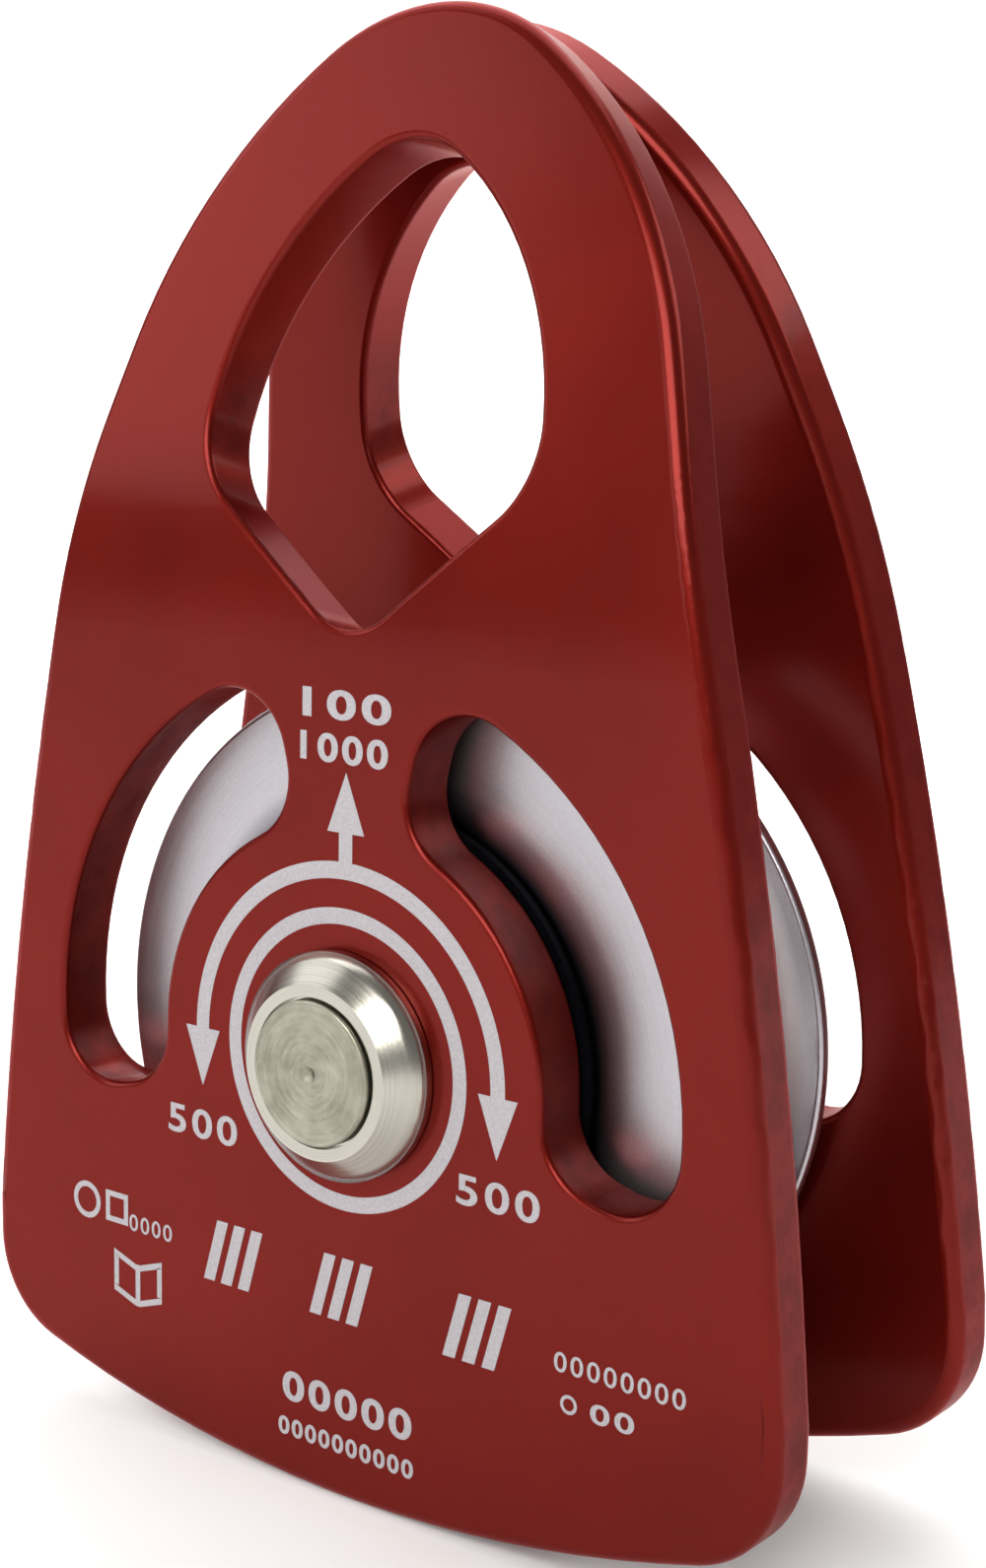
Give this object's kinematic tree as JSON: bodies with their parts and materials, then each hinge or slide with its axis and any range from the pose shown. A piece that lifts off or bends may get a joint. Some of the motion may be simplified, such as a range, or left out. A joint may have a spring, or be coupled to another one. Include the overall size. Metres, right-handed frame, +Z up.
{
  "type": "rope pulley",
  "caption": "Swing-cheek rope pulley: a grooved sheave on ball bearings between two bent, windowed cheek plates that share a connector eye.",
  "frame": {"origin": "centre of the sheave, on the axle's line, half way between the two cheeks", "axes": "+Z up from the axle to the connector eye, +Y along the axle to the rear, +X to the right seen from the front"},
  "size_m": [0.0749, 0.0358, 0.108],
  "materials": {
    "cheek_red": "satin red anodising",
    "axle_steel": "turned",
    "cap_steel": "turned, bright",
    "sheave_alloy": "fine turned, satin",
    "washer_black": "matt",
    "spring_steel": "phosphated",
    "bearing_steel": "ground",
    "ball_steel": "polished",
    "cage_plastic": "moulded",
    "seal_rubber": "matt"
  },
  "bodies": {
    "axle": {"axle_pin": "axle_steel", "centre_spacer": "bearing_steel", "front_cap": "cap_steel", "front_thrust_washer": "washer_black", "front_inner_race": "bearing_steel", "rear_cap": "cap_steel", "rear_thrust_washer": "washer_black", "rear_inner_race": "bearing_steel"},
    "front_cheek": {"front_cheek": "cheek_red"},
    "rear_cheek": {"rear_cheek": "cheek_red"},
    "sheave": {"sheave": "sheave_alloy", "front_circlip": "spring_steel", "front_outer_race": "bearing_steel", "front_outer_seal": "seal_rubber", "front_inner_seal": "seal_rubber", "rear_circlip": "spring_steel", "rear_outer_race": "bearing_steel", "rear_outer_seal": "seal_rubber", "rear_inner_seal": "seal_rubber"},
    "front_cage": {"front_cage": "cage_plastic", "front_balls": "ball_steel"},
    "rear_cage": {"rear_cage": "cage_plastic", "rear_balls": "ball_steel"}
  },
  "joints": [
    {"name": "front_cheek_swing", "type": "hinge", "parent": "axle", "child": "front_cheek", "pos_m": [0, 0, 0], "axis": [0, 1, 0], "continuous": true},
    {"name": "rear_cheek_swing", "type": "hinge", "parent": "axle", "child": "rear_cheek", "pos_m": [0, 0, 0], "axis": [0, 1, 0], "continuous": true},
    {"name": "sheave_spin", "type": "hinge", "parent": "axle", "child": "sheave", "pos_m": [0, 0, 0], "axis": [0, 1, 0], "continuous": true},
    {"name": "front_cage_spin", "type": "hinge", "parent": "axle", "child": "front_cage", "pos_m": [0, 0, 0], "axis": [0, 1, 0], "continuous": true},
    {"name": "rear_cage_spin", "type": "hinge", "parent": "axle", "child": "rear_cage", "pos_m": [0, 0, 0], "axis": [0, 1, 0], "continuous": true}
  ],
  "couplings": [
    {"joint": "front_cage_spin", "follows": "sheave_spin", "ratio": 0.58819},
    {"joint": "rear_cage_spin", "follows": "sheave_spin", "ratio": 0.58819}
  ]
}
